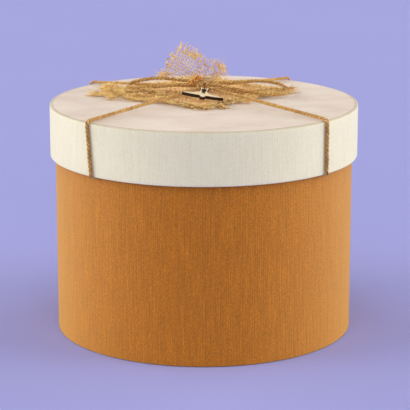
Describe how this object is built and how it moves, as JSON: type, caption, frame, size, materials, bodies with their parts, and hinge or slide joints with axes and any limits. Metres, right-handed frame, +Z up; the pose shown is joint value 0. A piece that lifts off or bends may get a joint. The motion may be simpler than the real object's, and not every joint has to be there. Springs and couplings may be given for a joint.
{
  "type": "hat box",
  "caption": "Round board hat box with a deep lift-off lid, both covered in ribbed paper, the lid tied with a twine bow over burlap and a small wooden charm.",
  "frame": {"origin": "centre of the underside, on the surface that the box stands on", "axes": "+Z up through the lid; -Y towards the side that the charm hangs on; +X to that side's right"},
  "size_m": [0.207, 0.207, 0.1911],
  "materials": {
    "greyboard": "uncoated grey-brown board",
    "orange_paper": "matt embossed paper with fine upright ribs",
    "cream_paper": "matt embossed paper with fine upright ribs",
    "top_paper": "matt paper with a faint cloudy mottle",
    "lining_paper": "plain uncoated lining paper",
    "foot_paper": "plain kraft paper",
    "jute_twine": "hairy two-ply jute",
    "burlap": "open plain weave of jute with frayed edges",
    "plywood": "pale face with charred laser-cut edges",
    "thread": "waxed thread"
  },
  "bodies": {
    "base": {"base_wall": "greyboard", "base_floor_board": "greyboard", "base_wrap": "orange_paper", "base_side_lining": "lining_paper", "base_floor_lining": "lining_paper", "base_foot_paper": "foot_paper"},
    "lid": {"lid_side_board": "greyboard", "lid_top_board": "greyboard", "lid_side_wrap": "cream_paper", "lid_top_paper": "top_paper", "lid_side_lining": "lining_paper", "lid_top_lining": "lining_paper", "twine_front_left": "jute_twine", "twine_front_right": "jute_twine", "twine_back_right": "jute_twine", "twine_back_left": "jute_twine", "twine_knot": "jute_twine", "bow_loop_right": "jute_twine", "bow_loop_left": "jute_twine", "bow_tail_right": "jute_twine", "bow_tail_left": "jute_twine", "burlap_patch": "burlap", "burlap_crest": "burlap", "charm_thread": "thread"},
    "charm": {"charm": "plywood"}
  },
  "joints": [
    {"name": "lid_lift", "type": "slide", "parent": "base", "child": "lid", "axis": [0, 0, 1], "range_m": [0, 0.12]},
    {"name": "charm_tilt", "type": "hinge", "parent": "lid", "child": "charm", "pos_m": [0, -0.004, 0.16185], "axis": [-0.9865, 0.0863, 0.1392], "range_deg": [0, 60]}
  ]
}
